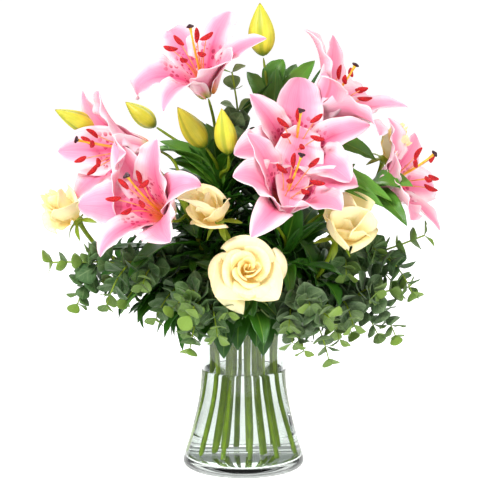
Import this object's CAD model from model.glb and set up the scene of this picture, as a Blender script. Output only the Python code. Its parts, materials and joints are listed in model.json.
"""Looks of a hand-tied bouquet in a glass vase: pink lilies, cream roses, buds and eucalyptus.

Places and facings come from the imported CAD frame, but for the leaves that fill the bouquet, which
start at its stems or beside the rim. Lengths are in metres unless a comment or docstring says
millimetres, and angles are in degrees.
"""

import json
import logging
import math
import random
from collections.abc import Callable, Sequence
from dataclasses import dataclass, field, replace
from enum import Enum

import bpy
import numpy as np
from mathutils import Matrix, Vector, noise

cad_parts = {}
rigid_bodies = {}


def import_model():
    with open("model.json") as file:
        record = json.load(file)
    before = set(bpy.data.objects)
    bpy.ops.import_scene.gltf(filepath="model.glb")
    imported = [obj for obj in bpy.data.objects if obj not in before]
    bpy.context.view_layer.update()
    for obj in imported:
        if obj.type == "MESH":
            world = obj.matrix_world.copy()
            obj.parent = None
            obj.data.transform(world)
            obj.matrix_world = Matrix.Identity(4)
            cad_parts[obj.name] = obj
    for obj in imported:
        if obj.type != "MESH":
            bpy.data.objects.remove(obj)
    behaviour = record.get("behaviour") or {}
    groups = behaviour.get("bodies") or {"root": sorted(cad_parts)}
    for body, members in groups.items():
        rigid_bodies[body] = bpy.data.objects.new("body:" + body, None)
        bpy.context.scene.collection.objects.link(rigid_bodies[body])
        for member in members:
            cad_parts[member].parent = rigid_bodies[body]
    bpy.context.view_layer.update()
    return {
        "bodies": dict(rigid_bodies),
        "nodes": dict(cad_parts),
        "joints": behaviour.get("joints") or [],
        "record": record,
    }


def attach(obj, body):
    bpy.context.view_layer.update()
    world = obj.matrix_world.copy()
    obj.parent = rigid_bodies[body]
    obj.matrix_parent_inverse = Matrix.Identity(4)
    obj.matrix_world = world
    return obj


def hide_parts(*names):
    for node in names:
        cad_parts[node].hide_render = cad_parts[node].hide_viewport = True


LOG = logging.getLogger("bouquet")
MM = 0.001
UP = Vector((0, 0, 1))
PLACE_MAP = "place"
TONE = "tone"
SEED = 11
GOLDEN = 137.5  # turn from one leaf or petal to the next


class Slot(Enum):
    """The record's material slots."""

    GLASS = "glass"
    WATER = "water"
    STEM = "stem"
    LEAF = "leaf"
    EUCALYPTUS = "eucalyptus"
    PETAL = "petal"
    ANTHER = "anther"
    BUD = "bud"
    ROSE = "rose"


# ---- geometry tools
def smooth(low: float, high: float, value: float) -> float:
    """Ramps smoothly from 0 to 1.

    Args:
        low: Value where the ramp starts.
        high: Value where the ramp ends.
        value: The value to place on the ramp.

    Returns:
        A number from 0 to 1.
    """
    t = min(1.0, max(0.0, (value - low) / (high - low)))
    return t * t * (3 - 2 * t)


@dataclass
class Axes:
    """A place with a direction it faces and an upper side.

    Args:
        origin: The place.
        forward: Unit vector that it faces.
        up: Unit vector to its upper side.
    """

    origin: Vector
    forward: Vector
    up: Vector = field(default_factory=lambda: Vector((0, 0, 1)))

    def __post_init__(self) -> None:
        """Squares the upper side up to the facing."""
        self.forward = self.forward.normalized()
        side = self.up.cross(self.forward)
        if side.length < 1e-6:
            side = Vector((1, 0, 0)).cross(self.forward)
        self.right = side.normalized()
        self.up = self.forward.cross(self.right)

    def out(self, turn: float) -> Vector:
        """Gives the sideways direction at a turn about the facing.

        Args:
            turn: Degrees from the right-hand side towards the upper side.

        Returns:
            A unit vector.
        """
        angle = math.radians(turn)
        return self.right * math.cos(angle) + self.up * math.sin(angle)

    def at(self, radius: float, turn: float, ahead: float) -> Vector:
        """Gives a point round and along the facing.

        Args:
            radius: Distance from the axis.
            turn: Degrees round it.
            ahead: Distance along it.

        Returns:
            The point.
        """
        return self.origin + self.out(turn) * radius + self.forward * ahead


class MeshKit:
    """Gathers grids of points into one mesh with place coordinates and a tone."""

    def __init__(self) -> None:
        """Starts empty."""
        self.points: list[Vector] = []
        self.places: list[tuple[float, float]] = []
        self.tones: list[float] = []
        self.faces: list[tuple[int, ...]] = []
        self.slots: list[int] = []

    def grid(
        self,
        rows: int,
        columns: int,
        point: Callable[[float, float], Vector],
        slot: int = 0,
        tone: float = 0.5,
        ring: bool = False,
    ) -> None:
        """Adds a grid of faces.

        Args:
            rows: Cells along.
            columns: Cells across.
            point: Gives the point for (along, across), each from 0 to 1.
            slot: Material index of its faces.
            tone: A shade number kept on its points.
            ring: Whether the last column joins the first.
        """
        start = len(self.points)
        wide = columns if ring else columns + 1
        for i in range(rows + 1):
            for j in range(wide):
                self.points.append(point(i / rows, j / columns))
                self.places.append((j / columns, i / rows))
                self.tones.append(tone)
        for i in range(rows):
            for j in range(columns):
                a = start + i * wide + j
                b = start + i * wide + (j + 1) % wide
                self.faces.append((a, b, b + wide, a + wide))
                self.slots.append(slot)

    def tube(
        self,
        path: Sequence[Vector],
        radius: Callable[[float], float],
        sides: int,
        slot: int = 0,
        tone: float = 0.5,
    ) -> None:
        """Adds a round bar with closed ends.

        Args:
            path: Points along its middle.
            radius: Gives its radius for a share of the way along.
            sides: Faces round it.
            slot: Material index.
            tone: A shade number kept on its points.
        """
        frames = sweep_frames(path)
        last = len(path) - 1

        def point(along: float, around: float) -> Vector:
            """Gives a point of the bar's skin.

            Args:
                along: From one end 0 to the other 1.
                around: Share of a turn round it.

            Returns:
                The point.
            """
            row = round(along * (last + 2))
            spot = min(last, max(0, row - 1))
            size = 0.0 if row in (0, last + 2) else radius(spot / last)
            centre, first, second = frames[spot]
            angle = math.tau * around
            return centre + (first * math.cos(angle) + second * math.sin(angle)) * size

        self.grid(last + 2, sides, point, slot, tone, ring=True)

    def blob(
        self,
        axes: Axes,
        shape: Callable[[float, float], tuple[float, float]],
        rows: int,
        sides: int,
        slot: int = 0,
        tone: float = 0.5,
    ) -> None:
        """Adds a round body about an axis.

        Args:
            axes: Its base and facing.
            shape: Gives (radius, height) for (along 0 to 1, turn in degrees).
            rows: Cells along.
            sides: Cells round.
            slot: Material index.
            tone: A shade number kept on its points.
        """

        def point(along: float, around: float) -> Vector:
            """Gives a point of the body's skin.

            Args:
                along: From its base 0 to its top 1.
                around: Share of a turn round it.

            Returns:
                The point.
            """
            turn = 360 * around
            radius, height = shape(along, turn)
            return axes.at(radius, turn, height)

        self.grid(rows, sides, point, slot, tone, ring=True)

    def build(
        self, name: str, materials: Sequence[bpy.types.Material], thickness: float = 0.0
    ) -> bpy.types.Object:
        """Makes the object and lets it ride on the CAD body.

        Args:
            name: The object's name.
            materials: Its materials, by index.
            thickness: Wall given to open sheets, with the second material on the far side.

        Returns:
            The new object.
        """
        mesh = bpy.data.meshes.new(name)
        mesh.from_pydata([tuple(p) for p in self.points], [], self.faces)
        uv = mesh.uv_layers.new(name=PLACE_MAP)
        corners = np.zeros(len(mesh.loops), dtype=np.int32)
        mesh.loops.foreach_get("vertex_index", corners)
        places = np.array(self.places, dtype=np.float32)[corners]
        across = places[:, 0].reshape(-1, 4)
        seam = np.ptp(across, axis=1) > 0.5
        across[seam] = np.where(across[seam] < 0.5, across[seam] + 1, across[seam])
        uv.data.foreach_set("uv", places.ravel())
        tone = mesh.attributes.new(TONE, "FLOAT", "POINT")
        tone.data.foreach_set("value", np.array(self.tones, dtype=np.float32))
        mesh.polygons.foreach_set("material_index", np.array(self.slots, dtype=np.int32))
        mesh.polygons.foreach_set("use_smooth", np.ones(len(self.faces), dtype=bool))
        for material in materials:
            mesh.materials.append(material)
        mesh.validate()
        mesh.update()
        thing = bpy.data.objects.new(name, mesh)
        bpy.context.scene.collection.objects.link(thing)
        if thickness > 0:
            shell = thing.modifiers.new("wall", "SOLIDIFY")
            shell.thickness = thickness
            shell.offset = 0
            shell.material_offset = len(materials) - 1
            shell.material_offset_rim = 0
        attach(thing, "root")
        return thing


def sweep_frames(path: Sequence[Vector]) -> list[tuple[Vector, Vector, Vector]]:
    """Gives each point of a path with two directions square to it, without twist.

    Args:
        path: Points along the path.

    Returns:
        One (point, first, second) for each point.
    """
    frames = []
    first = None
    for i, centre in enumerate(path):
        ahead = (path[min(i + 1, len(path) - 1)] - path[max(i - 1, 0)]).normalized()
        if first is None:
            first = ahead.orthogonal().normalized()
        first = (first - ahead * first.dot(ahead)).normalized()
        frames.append((Vector(centre), first.copy(), ahead.cross(first)))
    return frames


def bezier(a: Vector, b: Vector, c: Vector, count: int) -> list[Vector]:
    """Gives points along a bent line.

    Args:
        a: Its start.
        b: The point that it bends towards.
        c: Its end.
        count: Number of steps.

    Returns:
        count + 1 points.
    """
    steps = [i / count for i in range(count + 1)]
    return [a * (1 - t) ** 2 + b * (2 * t * (1 - t)) + c * t * t for t in steps]


def smooth_path(points: Sequence[Vector], count: int) -> list[Vector]:
    """Resamples a rough path evenly and softens it.

    Args:
        points: The rough path.
        count: Number of steps.

    Returns:
        count + 1 points.
    """
    rough = np.array([tuple(p) for p in points])
    for _ in range(3):
        rough[1:-1] = (rough[:-2] + 2 * rough[1:-1] + rough[2:]) / 4
    gaps = np.linalg.norm(np.diff(rough, axis=0), axis=1)
    reach = np.concatenate([[0], np.cumsum(gaps)])
    wanted = np.linspace(0, reach[-1], count + 1)
    return [Vector([float(np.interp(w, reach, rough[:, k])) for k in range(3)]) for w in wanted]


# ---- reading the CAD frame
class CadReader:
    """Reads places and sizes from the CAD nodes."""

    def __init__(self, frame: dict) -> None:
        """Keeps the frame.
        """
        self.nodes = frame["nodes"]

    def names(self, start: str, end: str = "") -> list[str]:
        """Lists node names.

        Args:
            start: How they begin.
            end: How they end.

        Returns:
            Sorted names.
        """
        return sorted(n for n in self.nodes if n.startswith(start) and n.endswith(end))

    def points(self, name: str) -> np.ndarray:
        """Gives a node's vertices.

        Args:
            name: The node.

        Returns:
            An n by 3 array in metres.
        """
        mesh = self.nodes[name].data
        flat = np.zeros(len(mesh.vertices) * 3, dtype=np.float64)
        mesh.vertices.foreach_get("co", flat)
        return flat.reshape(-1, 3)

    def edges(self, name: str) -> np.ndarray:
        """Gives a node's edges.

        Args:
            name: The node.

        Returns:
            An m by 2 array of vertex numbers.
        """
        mesh = self.nodes[name].data
        flat = np.zeros(len(mesh.edges) * 2, dtype=np.int32)
        mesh.edges.foreach_get("vertices", flat)
        return flat.reshape(-1, 2)

    def section(self, name: str, place: np.ndarray, ahead: np.ndarray) -> np.ndarray:
        """Cuts a node's edges with a plane.

        Args:
            name: The node.
            place: A point on the plane.
            ahead: The plane's normal.

        Returns:
            The points where edges cross it.
        """
        points = self.points(name)
        ends = self.edges(name)
        side = (points - place) @ ahead
        first, second = side[ends[:, 0]], side[ends[:, 1]]
        crosses = first * second < 0
        share = (first[crosses] / (first[crosses] - second[crosses]))[:, None]
        pair = ends[crosses]
        return points[pair[:, 0]] * (1 - share) + points[pair[:, 1]] * share

    def farthest_pair(self, name: str) -> tuple[Vector, Vector]:
        """Finds the two vertices farthest apart.

        Args:
            name: The node.

        Returns:
            The two points.
        """
        points = self.points(name)
        gaps = np.linalg.norm(points[:, None] - points[None], axis=2)
        i, j = np.unravel_index(np.argmax(gaps), gaps.shape)
        return Vector(points[i]), Vector(points[j])

    def distance(self, name: str, place: Vector) -> float:
        """Gives how near a node's vertices come to a point.

        Args:
            name: The node.
            place: The point.

        Returns:
            The shortest distance.
        """
        return float(np.linalg.norm(self.points(name) - np.array(place), axis=1).min())

    def rooted_pair(self, name: str, holders: Sequence[str]) -> tuple[Vector, Vector]:
        """Finds a node's two ends, the held one first.

        Args:
            name: The node.
            holders: Nodes, one of which holds it.

        Returns:
            The held end and the free end.
        """
        a, b = self.farthest_pair(name)
        near_a = min(self.distance(h, a) for h in holders)
        near_b = min(self.distance(h, b) for h in holders)
        return (a, b) if near_a <= near_b else (b, a)

    def trace(self, name: str, step: float = 5 * MM, reach: float = 4 * MM) -> list[Vector]:
        """Follows a stem upward from its cut end.

        Args:
            name: The stem's node.
            step: Length of a step.
            reach: How far from the expected place the stem's wall may be.

        Returns:
            Points along the stem's middle.
        """
        points = self.points(name)
        low = points[:, 2].min()
        foot = points[points[:, 2] < low + 1 * MM].mean(axis=0)
        ahead = np.array([0.0, 0.0, 1.0])
        ring = self.section(name, foot + ahead * step, ahead)
        path = [foot]
        place = ring.mean(axis=0)
        while len(path) < 300:
            ring = self.section(name, place, ahead)
            near = ring[np.linalg.norm(ring - place, axis=1) < reach] if len(ring) else ring
            if len(near) < 3:
                break
            place = near.mean(axis=0)
            path.append(place)
            back = path[max(0, len(path) - 4)]
            ahead = (place - back) / np.linalg.norm(place - back)
            place = place + ahead * step
        return [Vector(p) for p in path]


@dataclass
class BladeSpine:
    """The measured middle line of a CAD leaf.

    Args:
        centres: Points from root to tip.
        sides: Unit vectors across it.
        width: Its widest measure.
    """

    centres: list[Vector]
    sides: list[Vector]
    width: float


def measure_blade(cad: CadReader, name: str, holders: Sequence[str]) -> BladeSpine:
    """Measures a CAD leaf by cutting it across.

    Args:
        cad: The reader.
        name: The leaf's node.
        holders: The stems that may hold it.

    Returns:
        Its middle line.
    """
    root, tip = cad.rooted_pair(name, holders)
    chord = np.array((tip - root).normalized())
    length = (tip - root).length
    centres, sides, widths = [root], [], []
    for i in range(1, 12):
        ring = cad.section(name, np.array(root) + chord * length * i / 12, chord)
        if len(ring) < 3:
            continue
        spread = ring - ring.mean(axis=0)
        _, _, across = np.linalg.svd(spread, full_matrices=False)
        side = Vector(across[0])
        if sides and side.dot(sides[-1]) < 0:
            side = -side
        reach = spread @ np.array(side)
        centres.append(Vector(ring.mean(axis=0)))
        sides.append(side)
        widths.append(float(np.ptp(reach)))
    centres.append(tip)
    sides = [sides[0], *sides, sides[-1]]
    return BladeSpine(centres, sides, max(widths))


# ---- shading tools
def linear(red: int, green: int, blue: int) -> tuple[float, float, float, float]:
    """Turns a screen colour into a light-linear one.

    Args:
        red: 0 to 255.
        green: 0 to 255.
        blue: 0 to 255.

    Returns:
        The colour with alpha 1.
    """

    def one(value: int) -> float:
        """Turns one channel."""
        share = value / 255
        return share / 12.92 if share <= 0.04045 else ((share + 0.055) / 1.055) ** 2.4

    return (one(red), one(green), one(blue), 1.0)


Colour = tuple[float, float, float, float]
Feed = "bpy.types.NodeSocket | float | Sequence[float]"


class Graph:
    """A short way to write node trees."""

    def __init__(self, tree: bpy.types.NodeTree) -> None:
        """Keeps the tree.

        Args:
            tree: The node tree to add to.
        """
        self.tree = tree

    def add(self, kind: str, **settings: object) -> bpy.types.Node:
        """Adds a node.

        Args:
            kind: Its type name.
            **settings: Properties to set on it.

        Returns:
            The node.
        """
        node = self.tree.nodes.new(kind)
        for key, value in settings.items():
            setattr(node, key, value)
        return node

    def feed(self, socket: bpy.types.NodeSocket, source: Feed) -> None:
        """Links or sets an input.

        Args:
            socket: The input.
            source: A socket to link or a value to set.
        """
        if isinstance(source, bpy.types.NodeSocket):
            self.tree.links.new(source, socket)
        else:
            socket.default_value = source

    def math(self, operation: str, a: Feed, b: Feed = 0.0) -> bpy.types.NodeSocket:
        """Adds a math node.

        Args:
            operation: Its operation.
            a: First value.
            b: Second value.

        Returns:
            Its output.
        """
        node = self.add("ShaderNodeMath", operation=operation)
        self.feed(node.inputs[0], a)
        self.feed(node.inputs[1], b)
        return node.outputs[0]

    def times(self, a: Feed, b: Feed) -> bpy.types.NodeSocket:
        """Multiplies two values."""
        return self.math("MULTIPLY", a, b)

    def plus(self, a: Feed, b: Feed) -> bpy.types.NodeSocket:
        """Adds two values."""
        return self.math("ADD", a, b)

    def ramp(self, value: Feed, low: float, high: float) -> bpy.types.NodeSocket:
        """Maps a value smoothly to 0 to 1.

        Args:
            value: The value.
            low: Where the result is 0.
            high: Where the result is 1.

        Returns:
            The result.
        """
        node = self.add("ShaderNodeMapRange", interpolation_type="SMOOTHSTEP")
        self.feed(node.inputs["Value"], value)
        rising = low < high
        node.inputs["From Min"].default_value = min(low, high)
        node.inputs["From Max"].default_value = max(low, high)
        node.inputs["To Min"].default_value = 0.0 if rising else 1.0
        node.inputs["To Max"].default_value = 1.0 if rising else 0.0
        return node.outputs["Result"]

    def mix(self, share: Feed, a: Feed, b: Feed) -> bpy.types.NodeSocket:
        """Mixes two colours.

        Args:
            share: How much of the second.
            a: First colour.
            b: Second colour.

        Returns:
            The mixed colour.
        """
        node = self.add("ShaderNodeMix", data_type="RGBA")
        self.feed(node.inputs[0], share)
        self.feed(node.inputs[6], a)
        self.feed(node.inputs[7], b)
        return node.outputs[2]

    def place(self) -> tuple[bpy.types.NodeSocket, bpy.types.NodeSocket, bpy.types.NodeSocket]:
        """Reads the place coordinates.

        Returns:
            The vector, the share across and the share along.
        """
        uv = self.add("ShaderNodeUVMap", uv_map=PLACE_MAP)
        split = self.add("ShaderNodeSeparateXYZ")
        self.feed(split.inputs[0], uv.outputs["UV"])
        return uv.outputs["UV"], split.outputs["X"], split.outputs["Y"]

    def tone(self) -> bpy.types.NodeSocket:
        """Reads the shade number.

        Returns:
            Its output.
        """
        return self.add("ShaderNodeAttribute", attribute_name=TONE).outputs["Fac"]

    def group(self, name: str, **inputs: Feed) -> bpy.types.Node:
        """Adds a shared effect.

        Args:
            name: The effect's name.
            **inputs: Its inputs, with _ for a space.

        Returns:
            The group node.
        """
        node = self.add("ShaderNodeGroup", node_tree=effect(name))
        for key, value in inputs.items():
            self.feed(node.inputs[key.replace("_", " ")], value)
        return node


def effect(name: str) -> bpy.types.NodeTree:
    """Gives a shared effect, built the first time that it is asked for.

    Args:
        name: One of the names in EFFECTS.

    Returns:
        The node group.
    """
    found = bpy.data.node_groups.get(name)
    if found is not None:
        return found
    tree = bpy.data.node_groups.new(name, "ShaderNodeTree")
    inputs, outputs, write = EFFECTS[name]
    for label, kind in inputs:
        tree.interface.new_socket(label, in_out="INPUT", socket_type=kind)
    for label, kind in outputs:
        tree.interface.new_socket(label, in_out="OUTPUT", socket_type=kind)
    graph = Graph(tree)
    entry = graph.add("NodeGroupInput")
    leave = graph.add("NodeGroupOutput")
    results = write(graph, {s.name: s for s in entry.outputs})
    for label, socket in results.items():
        graph.feed(leave.inputs[label], socket)
    return tree


def write_veins(graph: Graph, given: dict) -> dict:
    """Writes fine lines along a blade, closer at its middle.

    Args:
        graph: The group's graph.
        given: Its inputs by name.

    Returns:
        Its outputs by name.
    """
    shift = graph.add("ShaderNodeVectorMath", operation="MULTIPLY")
    graph.feed(shift.inputs[0], given["Place"])
    join = graph.add("ShaderNodeCombineXYZ")
    graph.feed(join.inputs[0], given["Count"])
    join.inputs[1].default_value = 1.6
    graph.feed(shift.inputs[1], join.outputs[0])
    lines = graph.add("ShaderNodeTexNoise", noise_dimensions="2D")
    graph.feed(lines.inputs["Vector"], shift.outputs[0])
    lines.inputs["Scale"].default_value = 1.0
    lines.inputs["Detail"].default_value = 3.0
    return {"Mask": graph.ramp(lines.outputs["Fac"], 0.36, 0.66)}


def write_spots(graph: Graph, given: dict) -> dict:
    """Writes scattered round freckles.

    Args:
        graph: The group's graph.
        given: Its inputs by name.

    Returns:
        Its outputs by name.
    """
    cells = graph.add("ShaderNodeTexVoronoi", voronoi_dimensions="2D")
    stretch = graph.add("ShaderNodeVectorMath", operation="MULTIPLY")
    graph.feed(stretch.inputs[0], given["Place"])
    stretch.inputs[1].default_value = (7.5, 17.0, 1.0)
    graph.feed(cells.inputs["Vector"], stretch.outputs[0])
    cells.inputs["Scale"].default_value = 1.0
    cells.inputs["Randomness"].default_value = 0.9
    pick = graph.add("ShaderNodeSeparateXYZ")
    graph.feed(pick.inputs[0], cells.outputs["Color"])
    kept = graph.math("LESS_THAN", pick.outputs[0], given["Share"])
    size = graph.times(given["Size"], graph.plus(pick.outputs[1], 0.45))
    inside = graph.math("SUBTRACT", size, cells.outputs["Distance"])
    dot = graph.ramp(inside, 0.0, 0.07)
    return {"Mask": graph.times(dot, kept)}


def write_mottle(graph: Graph, given: dict) -> dict:
    """Writes soft uneven patches fixed to the object.

    Args:
        graph: The group's graph.
        given: Its inputs by name.

    Returns:
        Its outputs by name.
    """
    where = graph.add("ShaderNodeTexCoord")
    cloud = graph.add("ShaderNodeTexNoise")
    graph.feed(cloud.inputs["Vector"], where.outputs["Object"])
    graph.feed(cloud.inputs["Scale"], given["Scale"])
    cloud.inputs["Detail"].default_value = 4.0
    return {"Mask": graph.ramp(cloud.outputs["Fac"], 0.3, 0.7), "Raw": cloud.outputs["Fac"]}


def write_midline(graph: Graph, given: dict) -> dict:
    """Writes how far a point is from the middle of a blade.

    Args:
        graph: The group's graph.
        given: Its inputs by name.

    Returns:
        Its outputs by name: 0 at the middle and 1 at the edge.
    """
    centred = graph.math("SUBTRACT", given["Across"], 0.5)
    return {"Offset": graph.times(graph.math("ABSOLUTE", centred), 2.0)}


VALUE, VECTOR = "NodeSocketFloat", "NodeSocketVector"
EFFECTS = {
    "Veins": ([("Place", VECTOR), ("Count", VALUE)], [("Mask", VALUE)], write_veins),
    "Spots": ([("Place", VECTOR), ("Share", VALUE), ("Size", VALUE)], [("Mask", VALUE)], write_spots),
    "Mottle": ([("Scale", VALUE)], [("Mask", VALUE), ("Raw", VALUE)], write_mottle),
    "Midline": ([("Across", VALUE)], [("Offset", VALUE)], write_midline),
}


@dataclass(frozen=True)
class Finish:
    """A surface finish.

    Args:
        name: The material's name.
        roughness: How matt it is.
        sheen: Strength of a velvety edge light.
        soft: Strength of light scattered inside.
        bump: Height of its relief, as a share.
        lit: Light that a thin petal lets through, as a share of its colour.
    """

    name: str
    roughness: float = 0.5
    sheen: float = 0.0
    soft: float = 0.0
    bump: float = 0.3
    lit: float = 0.0

    def paint(self, graph: Graph) -> tuple[Feed, Feed]:
        """Writes the colour and the relief.

        Args:
            graph: The material's graph.

        Returns:
            A colour and a height.
        """
        raise NotImplementedError

    def build(self) -> bpy.types.Material:
        """Makes the material.

        Returns:
            The material.
        """
        material = bpy.data.materials.new(self.name)
        material.use_nodes = True
        graph = Graph(material.node_tree)
        shader = material.node_tree.nodes["Principled BSDF"]
        colour, height = self.paint(graph)
        graph.feed(shader.inputs["Base Color"], colour)
        shader.inputs["Roughness"].default_value = self.roughness
        shader.inputs["Sheen Weight"].default_value = self.sheen
        shader.inputs["Sheen Roughness"].default_value = 0.4
        if self.lit > 0:
            graph.feed(shader.inputs["Emission Color"], colour)
            shader.inputs["Emission Strength"].default_value = self.lit
        if self.soft > 0:
            shader.inputs["Subsurface Weight"].default_value = self.soft
            shader.inputs["Subsurface Radius"].default_value = (1.0, 0.5, 0.35)
            shader.inputs["Subsurface Scale"].default_value = 3 * MM
        bump = graph.add("ShaderNodeBump")
        bump.inputs["Strength"].default_value = self.bump
        bump.inputs["Distance"].default_value = 0.4 * MM
        graph.feed(bump.inputs["Height"], height)
        graph.feed(shader.inputs["Normal"], bump.outputs[0])
        return material


@dataclass(frozen=True)
class PetalFinish(Finish):
    """The inner face of a tepal.

    Args:
        edge: Colour of the margin.
        body: Colour of the blade.
        stripe: Colour along the middle.
        throat: Colour at the base.
        spot: Colour of the freckles.
        glow: How far the throat colour reaches along the blade.
        freckles: Share of the freckle places that are filled.
    """

    edge: Colour = linear(255, 230, 235)
    body: Colour = linear(249, 160, 188)
    stripe: Colour = linear(232, 50, 124)
    throat: Colour = linear(244, 150, 62)
    spot: Colour = linear(190, 18, 84)
    glow: float = 0.2
    freckles: float = 0.62

    def paint(self, graph: Graph) -> tuple[Feed, Feed]:
        """Writes blade, stripe, margin, throat, veins and freckles.

        Args:
            graph: The material's graph.

        Returns:
            A colour and a height.
        """
        place, across, along = graph.place()
        offset = graph.group("Midline", Across=across).outputs["Offset"]
        veins = graph.group("Veins", Place=place, Count=46.0).outputs["Mask"]
        mottle = graph.group("Mottle", Scale=34.0).outputs["Raw"]
        wander = graph.plus(offset, graph.times(graph.math("SUBTRACT", mottle, 0.5), 0.5))
        margin = graph.ramp(graph.plus(wander, graph.times(graph.tone(), 0.3)), 0.5, 1.15)
        colour = graph.mix(margin, self.body, self.edge)
        blush = graph.times(graph.ramp(wander, 0.72, 0.0), graph.ramp(along, 1.0, 0.15))
        colour = graph.mix(graph.times(blush, 0.85), colour, self.stripe)
        rib = graph.times(graph.ramp(offset, 0.1, 0.02), graph.ramp(along, 0.9, 0.4))
        colour = graph.mix(graph.times(rib, 0.5), colour, self.stripe)
        colour = graph.mix(graph.times(veins, 0.16), colour, self.stripe)
        reach = graph.plus(along, graph.times(offset, 0.14))
        colour = graph.mix(graph.ramp(reach, self.glow + 0.12, self.glow * 0.45), colour, self.throat)
        spots = graph.group("Spots", Place=place, Share=self.freckles, Size=0.34).outputs["Mask"]
        band = graph.times(graph.ramp(along, 0.12, 0.22), graph.ramp(along, 0.62, 0.42))
        spots = graph.times(spots, graph.times(band, graph.ramp(offset, 0.85, 0.6)))
        colour = graph.mix(graph.times(spots, 0.9), colour, self.spot)
        groove = graph.times(graph.ramp(offset, 0.0, 0.09), 0.8)
        height = graph.plus(graph.times(veins, 0.35), spots)
        return colour, graph.plus(height, groove)


@dataclass(frozen=True)
class PetalBackFinish(Finish):
    """The outer face of a tepal.

    Args:
        body: Colour of the blade.
        edge: Colour of the margin.
        rib: Colour of the raised rib.
        base: Colour near the stalk.
    """

    body: Colour = linear(245, 152, 186)
    edge: Colour = linear(255, 222, 232)
    rib: Colour = linear(216, 96, 118)
    base: Colour = linear(206, 210, 120)

    def paint(self, graph: Graph) -> tuple[Feed, Feed]:
        """Writes blade, rib, margin and greenish base.

        Args:
            graph: The material's graph.

        Returns:
            A colour and a height.
        """
        place, across, along = graph.place()
        offset = graph.group("Midline", Across=across).outputs["Offset"]
        veins = graph.group("Veins", Place=place, Count=40.0).outputs["Mask"]
        colour = graph.mix(graph.ramp(offset, 0.3, 1.0), self.body, self.edge)
        rib = graph.ramp(offset, 0.13, 0.03)
        colour = graph.mix(graph.times(rib, 0.6), colour, self.rib)
        colour = graph.mix(graph.times(veins, 0.14), colour, self.rib)
        colour = graph.mix(graph.ramp(along, 0.2, 0.02), colour, self.base)
        return colour, graph.plus(graph.times(veins, 0.3), rib)


@dataclass(frozen=True)
class BladeFinish(Finish):
    """A green leaf with long veins.

    Args:
        dark: Colour in its shade.
        light: Colour of its bright patches.
        rib: Colour of the middle rib.
    """

    dark: Colour = linear(16, 56, 10)
    light: Colour = linear(54, 112, 20)
    rib: Colour = linear(112, 154, 48)

    def paint(self, graph: Graph) -> tuple[Feed, Feed]:
        """Writes patches, veins and the rib.

        Args:
            graph: The material's graph.

        Returns:
            A colour and a height.
        """
        place, across, along = graph.place()
        offset = graph.group("Midline", Across=across).outputs["Offset"]
        veins = graph.group("Veins", Place=place, Count=30.0).outputs["Mask"]
        patches = graph.group("Mottle", Scale=22.0).outputs["Mask"]
        patched = graph.times(patches, 0.5)
        shade = graph.plus(patched, graph.times(graph.tone(), 0.6))
        colour = graph.mix(shade, self.dark, self.light)
        colour = graph.mix(graph.times(veins, 0.22), colour, self.light)
        colour = graph.mix(graph.times(graph.ramp(offset, 0.09, 0.02), 0.6), colour, self.rib)
        colour = graph.mix(graph.times(graph.ramp(along, 0.12, 0.0), 0.6), colour, self.rib)
        groove = graph.ramp(offset, 0.0, 0.1)
        return colour, graph.plus(graph.times(veins, 0.4), groove)


@dataclass(frozen=True)
class CoinFinish(Finish):
    """A round eucalyptus leaf with a powdery bloom.

    Args:
        green: Colour under the powder.
        powder: Colour of the powder.
        young: Colour of the small leaves at the tip.
        rim: Colour of the margin and veins.
        old: Colour of the large leaves low down.
    """

    green: Colour = linear(46, 88, 28)
    powder: Colour = linear(110, 138, 86)
    young: Colour = linear(126, 158, 54)
    rim: Colour = linear(150, 176, 120)
    old: Colour = linear(40, 84, 36)

    def paint(self, graph: Graph) -> tuple[Feed, Feed]:
        """Writes powder, young tips, rim and side veins.

        Args:
            graph: The material's graph.

        Returns:
            A colour and a height.
        """
        _, across, along = graph.place()
        offset = graph.group("Midline", Across=across).outputs["Offset"]
        powder = graph.group("Mottle", Scale=90.0).outputs["Mask"]
        colour = graph.mix(graph.times(powder, 0.6), self.green, self.powder)
        slant = graph.math("SUBTRACT", along, graph.times(offset, 0.35))
        wave = graph.math("SINE", graph.times(slant, 34.0))
        side_veins = graph.times(graph.ramp(wave, 0.75, 1.0), graph.ramp(offset, 0.95, 0.4))
        rib = graph.ramp(offset, 0.08, 0.02)
        lines = graph.math("MAXIMUM", rib, graph.times(side_veins, 0.5))
        colour = graph.mix(graph.times(lines, 0.4), colour, self.rim)
        tone = graph.tone()
        colour = graph.mix(graph.ramp(tone, 0.6, 1.05), colour, self.young)
        colour = graph.mix(graph.times(graph.ramp(tone, 0.4, 0.0), 0.55), colour, self.old)
        return colour, graph.times(lines, 0.6)


@dataclass(frozen=True)
class BudFinish(Finish):
    """A closed bud.

    Args:
        body: Colour of the ribs.
        seam: Colour in the seams.
        tip: Colour of the very tip.
        base: Colour beside the stalk.
    """

    body: Colour = linear(228, 218, 62)
    seam: Colour = linear(152, 168, 34)
    tip: Colour = linear(150, 120, 50)
    base: Colour = linear(96, 132, 30)

    def paint(self, graph: Graph) -> tuple[Feed, Feed]:
        """Writes seams, veins and the two ends.

        Args:
            graph: The material's graph.

        Returns:
            A colour and a height.
        """
        place, across, along = graph.place()
        wave = graph.math("COSINE", graph.times(across, 6 * math.pi))
        seam = graph.ramp(wave, -0.6, -1.0)
        veins = graph.group("Veins", Place=place, Count=60.0).outputs["Mask"]
        patches = graph.group("Mottle", Scale=60.0).outputs["Mask"]
        colour = graph.mix(graph.times(patches, 0.35), self.body, self.seam)
        colour = graph.mix(graph.times(seam, 0.7), colour, self.seam)
        colour = graph.mix(graph.times(veins, 0.25), colour, self.seam)
        colour = graph.mix(graph.ramp(along, 0.22, 0.0), colour, self.base)
        colour = graph.mix(graph.ramp(along, 0.95, 1.0), colour, self.tip)
        return colour, graph.math("SUBTRACT", graph.times(veins, 0.4), seam)


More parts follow.
